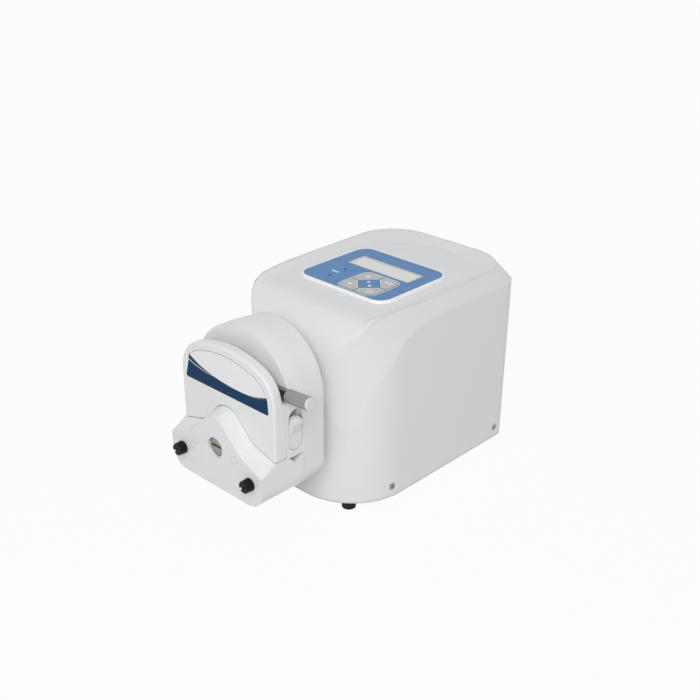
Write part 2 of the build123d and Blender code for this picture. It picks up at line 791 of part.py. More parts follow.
with BuildPart() as control_board:
    block(-tub_half, tub_half, tub_y0, tub_y1, board_top - board_thickness, board_top)
    for x, y in standoff_places:
        rod_z(x, y, 1.5, board_top - 3, board_top + 1, mode=Mode.SUBTRACT)
control_board.part.label = "control_board"
export_step(control_board.part, "parts/control_board.step")

with BuildPart() as board_standoffs:
    for x, y in standoff_places:
        rod_z(x, y, 3.0, board_top, floor_z - tub_drop)
        rod_z(x, y, 1.5 - screw_clearance, board_top - board_thickness, board_top)
        rod_z(x, y, 1.5 - screw_clearance, floor_z - tub_drop, floor_z - 1.5)
        rod_z(x, y, 3.0, board_top - board_thickness - 2, board_top - board_thickness)
board_standoffs.part.label = "board_standoffs"
export_step(board_standoffs.part, "parts/board_standoffs.step")

with BuildPart() as key_switches:
    places = [key_place]
    for sx, sy in key_quadrants.values():
        places.append((key_place[0] + sx * key_stem, key_place[1] + sy * key_stem))
    for x, y in places:
        block(x - 3, x + 3, y - 3, y + 3, board_top, switch_top - 0.8)
        rod_z(x, y, 1.7, switch_top - 0.8, switch_top)
key_switches.part.label = "key_switches"
export_step(key_switches.part, "parts/key_switches.step")

# ---------------------------------------------------------------- motor, bracket and power supply
with BuildPart() as head_flange:
    rod_y(0, shaft_height, flange_radius, depth(flange_depth), depth(-flange_seat))
    rod_y(0, shaft_height, flange_bore, depth(flange_depth), depth(-flange_seat), mode=Mode.SUBTRACT)
    for x, z in bracket_screw_places:
        rod_y(
            x, z, drive_screw_radius + screw_clearance, depth(-flange_seat) - 8, depth(-flange_seat),
            mode=Mode.SUBTRACT,
        )
    for x, z in head_screw_places:
        rod_y(
            x, z, drive_screw_radius + screw_clearance, depth(flange_depth), depth(flange_depth) + 10,
            mode=Mode.SUBTRACT,
        )
    rod_y(
        0, shaft_height, motor_screw_recess, depth(-flange_seat) - drive_screw_head_length - gap,
        depth(-flange_seat), mode=Mode.SUBTRACT,
    )
head_flange.part.label = "head_flange"
export_step(head_flange.part, "parts/head_flange.step")

with BuildPart() as motor_bracket:
    y0 = depth(-flange_seat)
    block(-bracket_half, bracket_half, y0, y0 + bracket_thickness, plate_top, shaft_height + bracket_half)
    block(-bracket_half, bracket_half, y0, y0 + bracket_foot, plate_top, plate_top + bracket_thickness)
    rod_y(0, shaft_height, flange_bore, y0 - 1, y0 + bracket_thickness + 1, mode=Mode.SUBTRACT)
    for x, z in bracket_screw_places + motor_screw_places:
        rod_y(
            x, z, drive_screw_radius + screw_clearance, y0 - 1, y0 + bracket_thickness + 1,
            mode=Mode.SUBTRACT,
        )
motor_bracket.part.label = "motor_bracket"
export_step(motor_bracket.part, "parts/motor_bracket.step")

with BuildPart() as motor_body:
    with Locations((0, motor_front + motor_length / 2, shaft_height)):
        Box(2 * motor_half, motor_length, 2 * motor_half)
    fillet(motor_body.edges().filter_by(Axis.Y), 5.0)
    rod_y(0, shaft_height, motor_half - 3, motor_front + motor_length, motor_front + motor_length + 6)
    rod_y(
        0, shaft_height, motor_shaft_radius + running, motor_front, motor_front + motor_bore,
        mode=Mode.SUBTRACT,
    )
    for x, z in motor_screw_places:
        rod_y(
            x, z, drive_screw_radius + screw_clearance, motor_front, motor_front + 8, mode=Mode.SUBTRACT,
        )
motor_body.part.label = "motor_body"
export_step(motor_body.part, "parts/motor_body.step")

with BuildPart() as drive_screws:
    y0 = depth(-flange_seat)
    for x, z in bracket_screw_places:
        rod_y(x, z, drive_screw_radius, y0 - 7.5, y0 + bracket_thickness)
        rod_y(
            x, z, drive_screw_head, y0 + bracket_thickness,
            y0 + bracket_thickness + drive_screw_head_length,
        )
    for x, z in motor_screw_places:
        rod_y(x, z, drive_screw_radius, y0, motor_front + 7.5)
        rod_y(x, z, drive_screw_head, y0 - drive_screw_head_length, y0)
drive_screws.part.label = "drive_screws"
export_step(drive_screws.part, "parts/drive_screws.step")

with BuildPart() as power_supply:
    block(*supply_x, *supply_y, plate_top, plate_top + supply_height)
    fillet(power_supply.edges().filter_by(Axis.Z), 2.0)
power_supply.part.label = "power_supply"
export_step(power_supply.part, "parts/power_supply.step")

# ---------------------------------------------------------------- rotor
with BuildPart() as motor_shaft:
    rod_y(0, shaft_height, motor_shaft_radius, coupling_y, motor_front + motor_bore - 1)
    block(
        -tongue_half, tongue_half, coupling_y - tongue_length, coupling_y,
        shaft_height - motor_shaft_radius + 0.5, shaft_height + motor_shaft_radius - 0.5,
    )
motor_shaft.part.label = "motor_shaft"
export_step(motor_shaft.part, "parts/motor_shaft.step")

with BuildPart() as rotor_shaft:
    shaft_end = coupling_y - 0.5
    rod_y(0, shaft_height, shaft_radius, window_back, shaft_end)
    rod_y(0, shaft_height, window_radius - 0.4, depth(block_depth - window_recess), window_back)
    slot_y = depth(block_depth - window_recess)
    block(
        -window_radius, window_radius, slot_y - 1, slot_y + 3, shaft_height - 1.4, shaft_height + 1.4,
        mode=Mode.SUBTRACT,
    )
    block(
        -tongue_half - running, tongue_half + running, shaft_end - tongue_length, shaft_end + 1,
        shaft_height - 2 * shaft_radius, shaft_height + 2 * shaft_radius, mode=Mode.SUBTRACT,
    )
rotor_shaft.part.label = "rotor_shaft"
export_step(rotor_shaft.part, "parts/rotor_shaft.step")

with BuildPart() as carrier_front:
    rod_y(0, shaft_height, carrier_radius, carrier_y0, carrier_y0 + carrier_thickness)
    rod_y(0, shaft_height, carrier_hub_radius, carrier_y0, carrier_y1 - carrier_thickness)
    rod_y(0, shaft_height, shaft_radius, carrier_y0 - 1, carrier_y1 + 1, mode=Mode.SUBTRACT)
    for x, z in roller_places:
        rod_y(x, z, roller_pin_radius, carrier_y0 - 1, carrier_y1, mode=Mode.SUBTRACT)
carrier_front.part.label = "carrier_front"
export_step(carrier_front.part, "parts/carrier_front.step")

with BuildPart() as carrier_rear:
    rod_y(0, shaft_height, carrier_radius, carrier_y1 - carrier_thickness, carrier_y1)
    rod_y(0, shaft_height, shaft_radius, carrier_y0 - 1, carrier_y1 + 1, mode=Mode.SUBTRACT)
    for x, z in roller_places:
        rod_y(x, z, roller_pin_radius, carrier_y0, carrier_y1 + 1, mode=Mode.SUBTRACT)
carrier_rear.part.label = "carrier_rear"
export_step(carrier_rear.part, "parts/carrier_rear.step")

with BuildPart() as roller_pins:
    for x, z in roller_places:
        rod_y(x, z, roller_pin_radius, carrier_y0, carrier_y1)
roller_pins.part.label = "roller_pins"
export_step(roller_pins.part, "parts/roller_pins.step")

for index, (x, z) in enumerate(roller_places):
    with BuildPart() as roller:
        rod_y(x, z, roller_radius, roller_y0, roller_y1)
        fillet(roller.edges().filter_by(GeomType.CIRCLE), 1.0)
        rod_y(x, z, roller_pin_radius + running, roller_y0, roller_y1, mode=Mode.SUBTRACT)
    roller.part.label = f"roller_{index + 1}"
    export_step(roller.part, f"parts/roller_{index + 1}.step")

for name, y0 in (("front_bearing", window_back + 0.5), ("rear_bearing", rear_bearing_y)):
    with BuildPart() as bearing:
        rod_y(0, shaft_height, bearing_radius, y0, y0 + bearing_width)
        rod_y(0, shaft_height, shaft_radius + running, y0, y0 + bearing_width, mode=Mode.SUBTRACT)
        for face_y in (y0, y0 + bearing_width):
            rod_y(0, shaft_height, bearing_radius - 1.5, face_y - 0.6, face_y + 0.6, mode=Mode.SUBTRACT)
            rod_y(0, shaft_height, shaft_radius + 1.5, face_y - 0.6, face_y + 0.6)
        rod_y(0, shaft_height, shaft_radius + running, y0 - 1, y0 + bearing_width + 1, mode=Mode.SUBTRACT)
        block(-20, 20, y0 - 1, y0, shaft_height - 20, shaft_height + 20, mode=Mode.SUBTRACT)
        block(
            -20, 20, y0 + bearing_width, y0 + bearing_width + 1, shaft_height - 20, shaft_height + 20,
            mode=Mode.SUBTRACT,
        )
    bearing.part.label = name
    export_step(bearing.part, f"parts/{name}.step")


# ---------------------------------------------------------------- head bodies
def bell_block(y, bell):
    """Outline of the lower block under a bell-shaped top line, in a plane at depth y."""
    (edge_x, edge_z), (foot_x, foot_z), apex_z = bell
    corner = head_bottom_corner
    with BuildSketch(front_plane(y)) as outline:
        with BuildLine():
            FilletPolyline(
                (-edge_x, edge_z), (-foot_x, foot_z), (0, apex_z), (foot_x, foot_z), (edge_x, edge_z),
                radius=(bell_foot_radius, bell_apex_radius, bell_foot_radius),
            )
            Line((edge_x, edge_z), (edge_x, head_bottom + corner))
            JernArc((edge_x, head_bottom + corner), (0, -1), corner, -90)
            Line((edge_x - corner, head_bottom), (corner - edge_x, head_bottom))
            JernArc((corner - edge_x, head_bottom), (-1, 0), corner, -90)
            Line((-edge_x, head_bottom + corner), (-edge_x, edge_z))
        make_face()
    return outline.sketch


def arch_outline(y, low, corner):
    """Outline of the rear body from height low up to its round arch."""
    with BuildSketch(front_plane(y)) as outline:
        with Locations((0, (low + arch_centre_height) / 2)):
            Rectangle(2 * head_half_width, arch_centre_height - low)
        if corner:
            fillet(outline.vertices().group_by(Axis.Y)[0], corner)
        with Locations((0, arch_centre_height)):
            Circle(head_half_width)
        with Locations((0, low - head_half_width)):
            Rectangle(3 * head_half_width, 2 * head_half_width, mode=Mode.SUBTRACT)
    return outline.sketch


def cover_outline(y, inset):
    """Outline of the upper cover above its bell-shaped lower edge, moved in by inset."""
    (edge_x, edge_z), (foot_x, foot_z), apex_z = seam_bell
    knee_x, knee_z = cover_knee
    with BuildSketch(front_plane(y)) as outline:
        with BuildLine():
            FilletPolyline(
                (-edge_x, edge_z + seam_gap), (-foot_x, foot_z + seam_gap), (0, apex_z + seam_gap),
                (foot_x, foot_z + seam_gap), (edge_x, edge_z + seam_gap),
                radius=(bell_foot_radius, bell_apex_radius, bell_foot_radius),
            )
            Line((edge_x, edge_z + seam_gap), (edge_x, cover_side_height))
            TangentArc((edge_x, cover_side_height), (knee_x, knee_z), tangent=(0, 1))
            ThreePointArc((knee_x, knee_z), (0, cover_top), (-knee_x, knee_z))
            TangentArc((-edge_x, cover_side_height), (-knee_x, knee_z), tangent=(0, 1))
            Line((-edge_x, cover_side_height), (-edge_x, edge_z + seam_gap))
        make_face()
        if inset:
            offset(amount=-inset, kind=Kind.INTERSECTION, mode=Mode.REPLACE)
    return outline.sketch


with BuildPart() as lower_block:
    loft(
        [bell_block(depth(cover_depth), seam_bell), bell_block(depth(block_depth), nose_bell)], ruled=True,
    )
    extrude(bell_block(depth(seam_depth), seam_bell), amount=cover_depth - seam_depth)
    with BuildSketch(front_plane(depth(backplate_depth))) as cheeks:
        with Locations((0, (head_bottom + side_seam_height) / 2)):
            Rectangle(2 * head_half_width, side_seam_height - head_bottom)
        fillet(cheeks.vertices().group_by(Axis.Y)[0], head_bottom_corner)
    extrude(amount=seam_depth - backplate_depth)
    # rotor chamber, carrier recess, bearing seat and window
    rod_y(0, shaft_height, chamber_radius, depth(seam_depth), depth(backplate_depth), mode=Mode.SUBTRACT)
    rod_y(
        0, shaft_height, carrier_radius + 1, carrier_y0 - 0.4, depth(seam_depth), mode=Mode.SUBTRACT,
    )
    rod_y(
        0, shaft_height, bearing_radius + screw_clearance, window_back, depth(seam_depth),
        mode=Mode.SUBTRACT,
    )
    rod_y(0, shaft_height, window_radius, depth(block_depth), window_back, mode=Mode.SUBTRACT)
    # tube notch across both cheeks
    with BuildSketch(Plane.YZ.offset(-head_half_width - 1)):
        with BuildLine():
            Polyline(
                (depth(clamp_y_depth) - notch_half_width, side_seam_height),
                (depth(clamp_y_depth) + notch_half_width, side_seam_height),
                (depth(clamp_y_depth), side_seam_height - notch_drop), close=True,
            )
        make_face()
    extrude(amount=2 * head_half_width + 2, mode=Mode.SUBTRACT)
    for side in (-1, 1):
        rod_z(
            side * guide_x, depth(guide_depth), guide_radius + running, guide_bottom,
            side_seam_height + 1, mode=Mode.SUBTRACT,
        )
        rod_y(
            side * thumb_x, thumb_z, thumb_shank_radius + running, depth(block_depth) - 1,
            depth(backplate_depth), mode=Mode.SUBTRACT,
        )
        rod_y(
            side * plug_x, plug_z, plug_radius - 1, depth(block_depth) - 1, depth(block_depth) + 4,
            mode=Mode.SUBTRACT,
        )
lower_block.part.label = "lower_block"
export_step(lower_block.part, "parts/lower_block.step")

with BuildPart() as cover_plugs:
    for side in (-1, 1):
        rod_y(side * plug_x, plug_z, plug_radius, depth(block_depth) - 1.0, depth(block_depth))
        rod_y(side * plug_x, plug_z, plug_radius - 1, depth(block_depth), depth(block_depth) + 3.5)
cover_plugs.part.label = "cover_plugs"
export_step(cover_plugs.part, "parts/cover_plugs.step")

with BuildPart() as rear_body:
    extrude(
        arch_outline(depth(backplate_depth), head_bottom, head_bottom_corner),
        amount=backplate_depth - flange_depth, dir=(0, 1, 0), taper=rear_body_draft,
    )
    extrude(
        arch_outline(depth(backplate_depth), side_seam_height, 0), amount=lever_slot_rear - backplate_depth,
    )
    for side in (-1, 1):
        block(
            side * (bed_half_width + bed_clearance), side * head_half_width, depth(seam_depth),
            depth(lever_slot_rear), side_seam_height, lever_slot_height,
        )
    # room for the occlusion bed and its yoke through the whole lift
    inner = bed_half_width + bed_clearance
    y0 = depth(lever_slot_rear) - 1
    y1 = depth(backplate_depth)
    block(-inner, inner, y0, y1, side_seam_height - 1, bed_top + lift + 1.5, mode=Mode.SUBTRACT)
    block(
        -yoke_half - 1.5, yoke_half + 1.5, y0, y1, side_seam_height, yoke_top + lift + 1.5,
        mode=Mode.SUBTRACT,
    )
    rod_y(0, shaft_height, carrier_radius + 1, y1 - 1, carrier_y1 + 0.4, mode=Mode.SUBTRACT)
    rod_y(
        0, shaft_height, bearing_radius + screw_clearance, y1 - 1, rear_bearing_y + bearing_width,
        mode=Mode.SUBTRACT,
    )
    rod_y(0, shaft_height, shaft_radius + 1, y1 - 1, depth(flange_depth) + 1, mode=Mode.SUBTRACT)
    rod_y(
        0, lever_pivot_height, cam_journal_radius + running, y1 - 1, y1 + cam_journal_length + 1,
        mode=Mode.SUBTRACT,
    )
    for x, z in head_screw_places:
        rod_y(x, z, drive_screw_head + gap, y1 - 1, head_screw_seat, mode=Mode.SUBTRACT)
        rod_y(x, z, drive_screw_radius + screw_clearance, y1, depth(flange_depth) + 1, mode=Mode.SUBTRACT)
    for side in (-1, 1):
        rod_z(
            side * guide_x, depth(guide_depth), guide_radius + running, side_seam_height,
            guide_top, mode=Mode.SUBTRACT,
        )
        rod_y(
            side * thumb_x, thumb_z, thumb_shank_radius + running, y1 - 1, y1 + thumb_reach + 1,
            mode=Mode.SUBTRACT,
        )
        # slot for the tube clamp's face plate, and the channel for its jaw behind it
        for z in (clamp_slot_bottom + clamp_width / 2, clamp_slot_top - clamp_width / 2):
            rod_x(
                depth(clamp_y_depth), z, clamp_width / 2, side * clamp_plate_in,
                side * (head_half_width + 1), mode=Mode.SUBTRACT,
            )
        block(
            side * clamp_plate_in, side * (head_half_width + 1), depth(clamp_y_depth) - clamp_width / 2,
            depth(clamp_y_depth) + clamp_width / 2, clamp_slot_bottom + clamp_width / 2,
            clamp_slot_top - clamp_width / 2, mode=Mode.SUBTRACT,
        )
        block(
            side * (clamp_jaw_in - gap), side * (clamp_plate_in + 2 * gap),
            depth(clamp_y_depth) - clamp_jaw_half - gap,
            depth(clamp_y_depth) + clamp_jaw_half + gap, side_seam_height - 1, clamp_slot_top - 2,
            mode=Mode.SUBTRACT,
        )
rear_body.part.label = "rear_body"
export_step(rear_body.part, "parts/rear_body.step")

with BuildPart() as head_screws:
    for x, z in head_screw_places:
        rod_y(x, z, drive_screw_head, head_screw_seat - drive_screw_head_length, head_screw_seat)
        rod_y(x, z, drive_screw_radius, head_screw_seat, depth(flange_depth) + 9.5)
head_screws.part.label = "head_screws"
export_step(head_screws.part, "parts/head_screws.step")

with BuildPart() as guide_rods:
    for side in (-1, 1):
        rod_z(side * guide_x, depth(guide_depth), guide_radius, guide_bottom, guide_top)
guide_rods.part.label = "guide_rods"
export_step(guide_rods.part, "parts/guide_rods.step")

# ---------------------------------------------------------------- lifting block
with BuildPart() as upper_cover:
    extrude(cover_outline(depth(seam_depth), 0), amount=cover_depth - seam_depth)
    outer_edges = upper_cover.faces().sort_by(Axis.Y)[0].edges().filter_by(
        lambda edge: edge.center().Z > (seam_bell[0][1] + cover_side_height) / 2 - 10 and (
            abs(edge.center().X) > head_half_width - 20 or edge.center().Z > apex_limit
        )
    )
    fillet(outer_edges, cover_edge_radius)
    block(
        -head_half_width - 1, head_half_width + 1, depth(lever_slot_front), depth(seam_depth) + 1,
        lever_slot_height, cover_top + 1, mode=Mode.SUBTRACT,
    )
upper_cover.part.label = "upper_cover"
export_step(upper_cover.part, "parts/upper_cover.step")

with BuildPart() as head_label:
    extrude(cover_outline(depth(cover_depth), label_margin), amount=label_thickness)
    block(
        -head_half_width, head_half_width, depth(cover_depth) - 1, depth(cover_depth) + 1,
        head_bottom, label_bottom, mode=Mode.SUBTRACT,
    )
    fillet(head_label.edges().filter_by(Axis.Y).group_by(Axis.Z)[0], 3.0)
head_label.part.label = "head_label"
export_step(head_label.part, "parts/head_label.step")

with BuildPart() as occlusion_bed:
    bed_rear = depth(backplate_depth) - 0.4
    block(-bed_half_width, bed_half_width, depth(seam_depth), bed_rear, bed_bottom, bed_shelf)
    block(-bed_half_width, bed_half_width, depth(bed_back_depth), bed_rear, bed_shelf, bed_top)
    block(-yoke_half, yoke_half, depth(bed_back_depth), bed_rear, bed_top, yoke_top)
    rod_y(0, shaft_height, track_radius, depth(seam_depth), bed_rear, mode=Mode.SUBTRACT)
    slot_z = lever_pivot_height - cam_offset
    slot_half = cam_offset + cam_pin_radius + 1
    block(
        -slot_half, slot_half, depth(bed_back_depth), bed_rear, slot_z - cam_pin_radius - yoke_play,
        slot_z + cam_pin_radius + yoke_play, mode=Mode.SUBTRACT,
    )
    for side in (-1, 1):
        rod_z(
            side * guide_x, depth(guide_depth), guide_radius + running, bed_bottom - 1, bed_top + 1,
            mode=Mode.SUBTRACT,
        )
occlusion_bed.part.label = "occlusion_bed"
export_step(occlusion_bed.part, "parts/occlusion_bed.step")

# ---------------------------------------------------------------- lever
lean = radians(lever_rest_angle)
lever_plane = Plane(
    origin=(0, depth(lever_rear_depth), lever_pivot_height), x_dir=(cos(lean), 0, sin(lean)),
    z_dir=(0, -1, 0),
)
handle_plane = Plane(
    origin=(0, depth(lever_rear_depth + lever_thickness / 2), lever_pivot_height),
    x_dir=(0, -1, 0), z_dir=(cos(lean), 0, sin(lean)),
)

with BuildPart() as lever_arm:
    with BuildSketch(lever_plane):
        Circle(lever_hub_radius)
        with Locations(((handle_start + lever_tang) / 2, 0)):
            Rectangle(handle_start + lever_tang, 2 * lever_half)
        Circle(lever_bore, mode=Mode.SUBTRACT)
    extrude(amount=lever_thickness)
lever_arm.part.label = "lever_arm"
export_step(lever_arm.part, "parts/lever_arm.step")

with BuildPart() as cam_shaft:
    z = lever_pivot_height
    hub_back = depth(lever_rear_depth)
    rod_y(0, z, lever_bore, depth(lever_rear_depth + lever_thickness), hub_back)
    rod_y(0, z, cam_journal_radius, hub_back, hub_back + cam_web)
    rod_y(0, z - cam_offset, cam_pin_radius, hub_back, depth(backplate_depth) - 0.2)
    rod_y(
        0, z, cam_journal_radius, depth(backplate_depth) - 0.2,
        depth(backplate_depth) + cam_journal_length,
    )
cam_shaft.part.label = "cam_shaft"
export_step(cam_shaft.part, "parts/cam_shaft.step")

with BuildPart() as lever_handle:
    with BuildSketch(handle_plane.offset(handle_start)):
        Circle(handle_radius)
    extrude(amount=handle_end - handle_cap_length - handle_start)
    with BuildSketch(handle_plane.offset(handle_start)):
        Rectangle(lever_thickness, 2 * lever_half)
    extrude(amount=lever_tang, mode=Mode.SUBTRACT)
lever_handle.part.label = "lever_handle"
export_step(lever_handle.part, "parts/lever_handle.step")

with BuildPart() as handle_cap:
    with BuildSketch(handle_plane.offset(handle_end - handle_cap_length)):
        Circle(handle_radius - 0.4)
    extrude(amount=handle_cap_length)
    fillet(handle_cap.edges().filter_by(GeomType.CIRCLE).sort_by(Axis.X)[-1], 0.8)
handle_cap.part.label = "handle_cap"
export_step(handle_cap.part, "parts/handle_cap.step")

# ---------------------------------------------------------------- tube clamps and thumbscrews
for name, side in (("tube_clamp_left", -1), ("tube_clamp_right", 1)):
    y = depth(clamp_y_depth)
    half = clamp_width / 2 - gap
    low = clamp_slot_bottom + gap
    with BuildPart() as clamp:
        plate_in = side * (clamp_plate_in + gap)
        plate_out = side * (head_half_width - gap)
        for z in (low + half, low + clamp_length - half):
            rod_x(y, z, half, plate_in, plate_out)
        block(plate_in, plate_out, y - half, y + half, low + half, low + clamp_length - half)
        block(
            side * clamp_jaw_in, plate_in, y - clamp_jaw_half, y + clamp_jaw_half, side_seam_height + 1,
            low + clamp_length - 6,
        )
        with BuildSketch(Plane.XZ.offset(-(y + clamp_ridge_half))):
            with BuildLine():
                Polyline(
                    (plate_out, low + 17), (plate_out + side * 3.8, low + 27.5),
                    (plate_out + side * 3.8, low + 29), (plate_out, low + 31.5), close=True,
                )
            make_face()
        extrude(amount=2 * clamp_ridge_half)
    clamp.part.label = name
    export_step(clamp.part, f"parts/{name}.step")

for name, side in (("thumbscrew_left", -1), ("thumbscrew_right", 1)):
    with BuildPart() as thumbscrew:
        face_y = depth(block_depth) - gap
        with Locations(Location((side * thumb_x, face_y, thumb_z), (90, 0, 0))):
            Cone(
                thumb_radius, thumb_radius - 0.5, thumb_length - gap,
                align=(Align.CENTER, Align.CENTER, Align.MIN),
            )
        fillet(thumbscrew.edges().filter_by(GeomType.CIRCLE), 0.6)
        rod_y(side * thumb_x, thumb_z, thumb_shank_radius, face_y, depth(backplate_depth) + thumb_reach)
        with Locations((side * thumb_x, face_y - thumb_length, thumb_z)):
            Box(2 * thumb_radius + 1, 5, 2.2, rotation=(0, -35, 0), mode=Mode.SUBTRACT)
    thumbscrew.part.label = name
    export_step(thumbscrew.part, f"parts/{name}.step")
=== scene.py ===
import math

import bmesh
import bpy
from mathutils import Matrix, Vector


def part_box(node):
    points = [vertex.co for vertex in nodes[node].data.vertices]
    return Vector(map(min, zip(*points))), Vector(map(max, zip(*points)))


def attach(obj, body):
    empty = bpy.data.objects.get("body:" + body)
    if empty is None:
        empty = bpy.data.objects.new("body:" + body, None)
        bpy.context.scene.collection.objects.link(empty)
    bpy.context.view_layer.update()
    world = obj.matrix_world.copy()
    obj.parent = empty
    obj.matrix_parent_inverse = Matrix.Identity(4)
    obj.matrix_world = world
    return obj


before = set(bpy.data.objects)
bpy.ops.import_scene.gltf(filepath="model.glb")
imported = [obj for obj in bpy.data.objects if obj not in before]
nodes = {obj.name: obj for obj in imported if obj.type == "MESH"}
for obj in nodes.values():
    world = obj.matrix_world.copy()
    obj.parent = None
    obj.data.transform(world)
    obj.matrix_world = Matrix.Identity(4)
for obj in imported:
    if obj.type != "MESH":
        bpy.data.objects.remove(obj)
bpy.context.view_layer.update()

MM = 0.001


# ---------------------------------------------------------------- materials
def linear(shade):
    """An sRGB colour from 0 to 255 as the linear colour that the shader takes."""
    values = [c / 255 for c in shade]
    return [c / 12.92 if c <= 0.04045 else ((c + 0.055) / 1.055) ** 2.4 for c in values] + [1.0]


def scaled(colour, share):
    """A colour made darker or lighter, its alpha left at 1."""
    return [min(1, c * share) for c in colour[:3]] + [1]


CORNER_SHADE_RANGE = (0.15, 0.6)        # openness from a closed corner, which gets the full painted shade, to a plain surface, which gets none
PAINTED_CORNER_SHADE = 0.3                # share of the colour that is left in a closed corner, as painted shade


class Surface:
    """A material of nodes: blotched colour, uneven gloss, fine grain and softened edges.

    edge is the radius that edges are softened by, and corner_shade_reach the reach of the painted shade,
    a darkening of the colour in closed corners. Both are in metres, and 0 leaves them out.
    """

    def __init__(self, name, shade, rough=0.4, metal=0.0, blotch=0.03, blotch_size=0.03, uneven=0.06,
                 grain=0.00002, grain_size=0.0006, stretch=(1, 1, 1), edge=0.0, shine=0.5, corner_shade_reach=0.0):
        self.material = bpy.data.materials.new(name)
        self.material.use_nodes = True
        self.tree = self.material.node_tree
        self.tree.nodes.clear()
        self.shader = self.node("ShaderNodeBsdfPrincipled")
        output = self.node("ShaderNodeOutputMaterial")
        self.tree.links.new(self.shader.outputs[0], output.inputs[0])
        self.shader.inputs["Metallic"].default_value = metal
        self.shader.inputs["Specular IOR Level"].default_value = shine
        self.place = self.node("ShaderNodeTexCoord").outputs["Object"]
        mapping = self.node("ShaderNodeMapping")
        mapping.inputs["Scale"].default_value = stretch
        self.link(self.place, mapping.inputs["Vector"])
        wide = self.noise(mapping.outputs[0], 1 / blotch_size, 3)
        fine = self.noise(mapping.outputs[0], 1 / grain_size, 2)
        base = linear(shade)
        self.colour = self.mix(wide, scaled(base, 1 - blotch), scaled(base, 1 + blotch))
        # painted shade: the colour is darkened in closed corners and recesses, found by ambient occlusion, in
        # place of the shade that falls there
        if corner_shade_reach:
            near = self.node("ShaderNodeAmbientOcclusion")
            near.samples = 8
            near.inputs["Distance"].default_value = corner_shade_reach
            unshaded = self.ranged(near.outputs["AO"], 0, 1, *CORNER_SHADE_RANGE)
            self.colour = self.mix(unshaded, scaled(base, PAINTED_CORNER_SHADE), self.colour)
        self.link(self.colour, self.shader.inputs["Base Color"])
        self.link(self.ranged(wide, rough - uneven, rough + uneven), self.shader.inputs["Roughness"])
        bump = self.node("ShaderNodeBump")
        bump.inputs["Strength"].default_value = 0.5
        bump.inputs["Distance"].default_value = grain
        self.link(fine, bump.inputs["Height"])
        self.link(bump.outputs[0], self.shader.inputs["Normal"])
        if edge:
            bevel = self.node("ShaderNodeBevel")
            bevel.samples = 6
            bevel.inputs["Radius"].default_value = edge
            self.link(bevel.outputs[0], bump.inputs["Normal"])

    def node(self, kind):
        return self.tree.nodes.new(kind)

    def link(self, source, target):
        self.tree.links.new(source, target)

    def noise(self, vector, scale, detail):
        made = self.node("ShaderNodeTexNoise")
        made.inputs["Scale"].default_value = scale
        made.inputs["Detail"].default_value = detail
        self.link(vector, made.inputs["Vector"])
        return made.outputs[0]

    def mix(self, factor, low, high):
        """low where factor is 0 and high where it is 1, each a colour or a socket."""
        made = self.node("ShaderNodeMix")
        made.data_type = "RGBA"
        self.link(factor, made.inputs["Factor"])
        for socket, value in (("A", low), ("B", high)):
            target = [s for s in made.inputs if s.name == socket and s.type == "RGBA"][0]
            if isinstance(value, list):
                target.default_value = value
            else:
                self.link(value, target)
        return [s for s in made.outputs if s.type == "RGBA"][0]

    def ranged(self, value, low, high, start=0.3, end=0.7):
        """Spreads a value from start to end over low to high. Noise lies mostly within 0.3 to 0.7."""
        made = self.node("ShaderNodeMapRange")
        made.inputs["From Min"].default_value = start
        made.inputs["From Max"].default_value = end
        made.inputs["To Min"].default_value = low
        made.inputs["To Max"].default_value = high
        self.link(value, made.inputs["Value"])
        return made.outputs[0]

    def calc(self, kind, *values):
        made = self.node("ShaderNodeMath")
        made.operation = kind
        for socket, value in zip(made.inputs, values):
            if isinstance(value, (int, float)):
                socket.default_value = value
            else:
                self.link(value, socket)
        return made.outputs[0]

    def apart(self, a, b):
        """How far two values are from each other."""
        return self.calc("ABSOLUTE", self.calc("SUBTRACT", a, b))

    def axes(self):
        """The x, y and z of a point, in metres."""
        made = self.node("ShaderNodeSeparateXYZ")
        self.link(self.place, made.inputs[0])
        return made.outputs

    def recolour(self, colour):
        self.link(colour, self.shader.inputs["Base Color"])
        self.colour = colour

    def glow(self, shade, strength):
        self.shader.inputs["Emission Color"].default_value = linear(shade)
        self.shader.inputs["Emission Strength"].default_value = strength


WHITE = (232, 233, 235)
NAVY = (26, 60, 94)
PANEL_BLUE = (78, 132, 188)
PALE_LINE = (232, 230, 222)
BLACK = (22, 22, 23)

white = Surface("white_plastic", WHITE, rough=0.34, blotch=0.012, blotch_size=0.05, edge=0.0035)
bezel_white = Surface("bezel_plastic", (252, 252, 251), rough=0.2, blotch=0.008, edge=0.0006)
# painted shade darkens this plastic in its corners and where the head's parts meet
head_white = Surface("head_plastic", (234, 235, 236), rough=0.33, blotch=0.012, blotch_size=0.04, edge=0.0011,
                     corner_shade_reach=0.004)
clamp_white = Surface("clamp_plastic", (229, 230, 232), rough=0.3, blotch=0.015, blotch_size=0.012,
                      edge=0.0006)
cap_white = Surface("handle_end_cap", (222, 223, 222), rough=0.3, blotch=0.02, blotch_size=0.004,
                    edge=0.0005)
film_white = Surface("label_film", (240, 241, 243), rough=0.22, blotch=0.008, grain=0.000006)
film_navy = Surface("label_navy", NAVY, rough=0.35, blotch=0.05, grain=0.000006, shine=0.05)
film_grey = Surface("label_grey_line", (128, 130, 135), rough=0.3, blotch=0.03, grain=0.000006)
print_white = Surface("print_white", (244, 245, 246), rough=0.4, blotch=0.01, grain=0.000006)
print_cream = Surface("print_cream", PALE_LINE, rough=0.4, blotch=0.01, grain=0.000006)
black = Surface("black_plastic", BLACK, rough=0.42, blotch=0.15, blotch_size=0.006, grain=0.00004,
                edge=0.0004, shine=0.12)
rubber = Surface("black_rubber", BLACK, rough=0.7, blotch=0.2, blotch_size=0.008, grain=0.00006,
                 edge=0.0004, shine=0.2)
